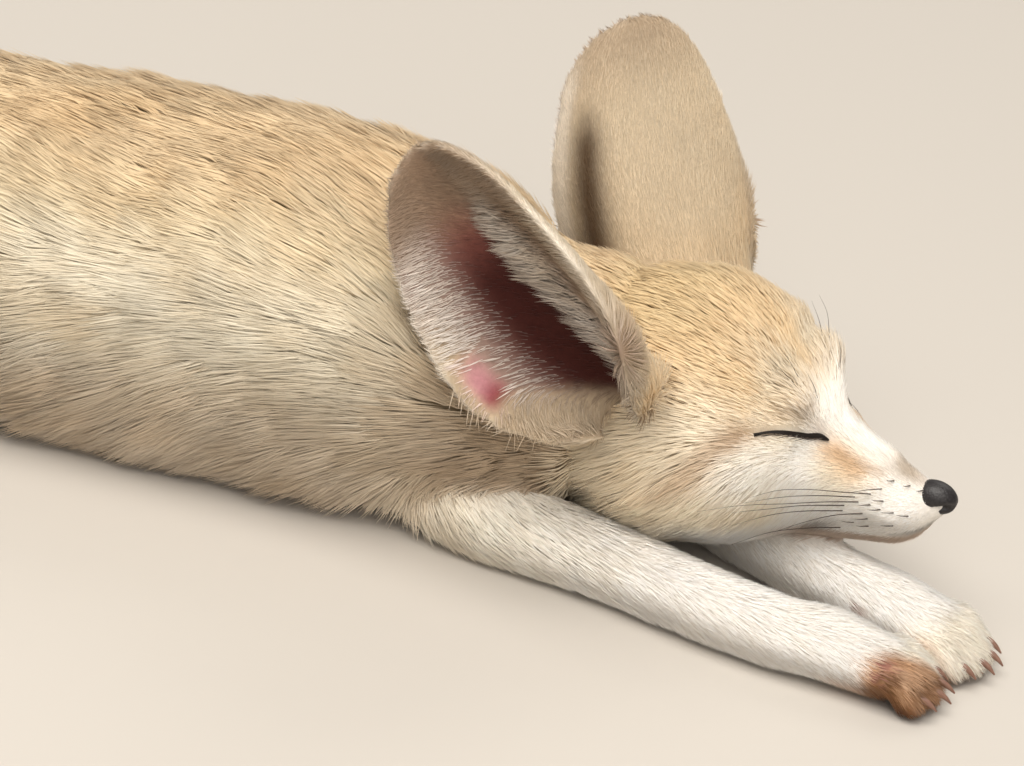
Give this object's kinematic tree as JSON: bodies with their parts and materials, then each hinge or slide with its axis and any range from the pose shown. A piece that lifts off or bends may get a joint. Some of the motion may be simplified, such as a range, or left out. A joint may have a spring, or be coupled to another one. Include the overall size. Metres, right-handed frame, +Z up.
{
  "type": "fennec fox",
  "caption": "Life-size fennec fox asleep on its belly, forelegs stretched forward, chin on a foreleg and large ears raised.",
  "frame": {"origin": "on the floor under the middle of the animal's box", "axes": "+X forward along the animal towards its nose and forepaws, +Y to its left, +Z up; the floor is at Z = 0"},
  "size_m": [0.4182, 0.168, 0.1266],
  "materials": {
    "body_coat": "long soft fur, sandy on the back and cream on the flanks",
    "face_coat": "short fur, golden forehead and white muzzle",
    "leg_coat": "short cream-white fur with brownish toes and horn-coloured claws",
    "ear_coat": "short tan fur outside, pinkish skin with pale hair inside",
    "tail_tip_coat": "dark bushy fur",
    "nose_leather": "black, moist satin",
    "lids": "short cream fur with a dark lash line"
  },
  "bodies": {
    "root": {"torso": "body_coat", "foreleg_right": "leg_coat", "foreleg_left": "leg_coat", "hind_leg_right": "body_coat", "hind_foot_right": "leg_coat", "hind_leg_left": "body_coat", "hind_foot_left": "leg_coat", "neck": "body_coat", "head": "face_coat", "nose": "nose_leather", "eye_right_closed_lids": "lids", "eye_left_closed_lids": "lids", "ear_right": "ear_coat", "ear_left": "ear_coat", "tail_base": "body_coat", "tail_middle": "body_coat", "tail_tip": "tail_tip_coat"}
  },
  "joints": []
}
